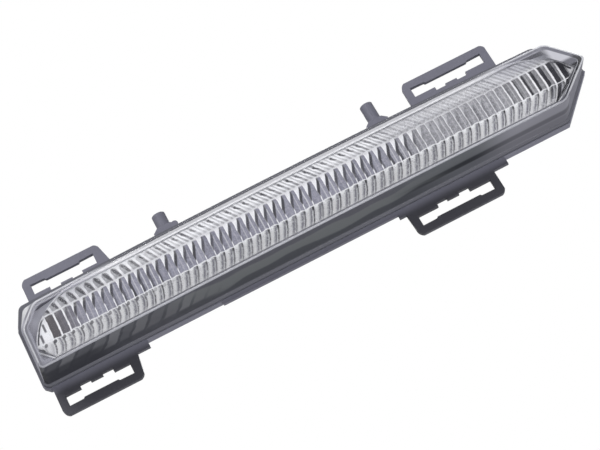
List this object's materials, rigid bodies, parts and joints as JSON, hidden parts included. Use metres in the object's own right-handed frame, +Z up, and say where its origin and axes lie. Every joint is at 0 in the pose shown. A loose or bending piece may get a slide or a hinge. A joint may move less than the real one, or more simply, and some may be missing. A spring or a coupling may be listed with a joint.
{
  "type": "daytime running light",
  "caption": "Slim car daytime running light: clear pointed cover lens over a fluted optic, dark housing with slotted tabs, locating pegs, heat sink and connector.",
  "frame": {"origin": "centre of the whole lamp's box", "axes": "+X along the lamp towards its pointed end, -Y out of the clear front, +Z up towards the locating pegs"},
  "size_m": [0.3, 0.06, 0.0764],
  "materials": {
    "housing_plastic": "fine grained dark grey moulding",
    "lens_clear": "clear acrylic, polished",
    "optic_clear": "clear acrylic with fine flutes",
    "bezel_grey": "satin grey moulding",
    "reflector_metal": "vacuum metallised, slightly hazy",
    "seal_rubber": "matt",
    "board_green": "green solder mask",
    "led_ceramic": "pale base with a yellow phosphor dome",
    "pad_grey": "soft grey gap pad",
    "heat_sink_metal": "bare die cast",
    "chip_black": "black resin",
    "can_metal": "bright can",
    "terminal_brass": "bright blades",
    "cover_plastic": "black moulding",
    "screw_steel": "zinc plated",
    "membrane_cloth": "white breather film"
  },
  "bodies": {
    "root": {"board_link": "chip_black", "cover_lens": "lens_clear", "driver_board": "board_green", "driver_board_screws": "screw_steel", "driver_capacitor_1": "can_metal", "driver_capacitor_2": "can_metal", "driver_chip": "chip_black", "driver_coil": "chip_black", "fluted_optic": "optic_clear", "heat_sink": "heat_sink_metal", "heat_sink_screws": "screw_steel", "inner_bezel": "bezel_grey", "led_1": "led_ceramic", "led_2": "led_ceramic", "led_3": "led_ceramic", "led_4": "led_ceramic", "led_board": "board_green", "lens_seal": "seal_rubber", "rear_cover": "cover_plastic", "rear_cover_screws": "screw_steel", "rear_cover_seal": "seal_rubber", "rear_housing": "housing_plastic", "reflector": "reflector_metal", "terminal_1": "terminal_brass", "terminal_2": "terminal_brass", "terminal_3": "terminal_brass", "thermal_pad": "pad_grey", "vent_cap": "seal_rubber", "vent_membrane": "membrane_cloth"}
  },
  "joints": []
}
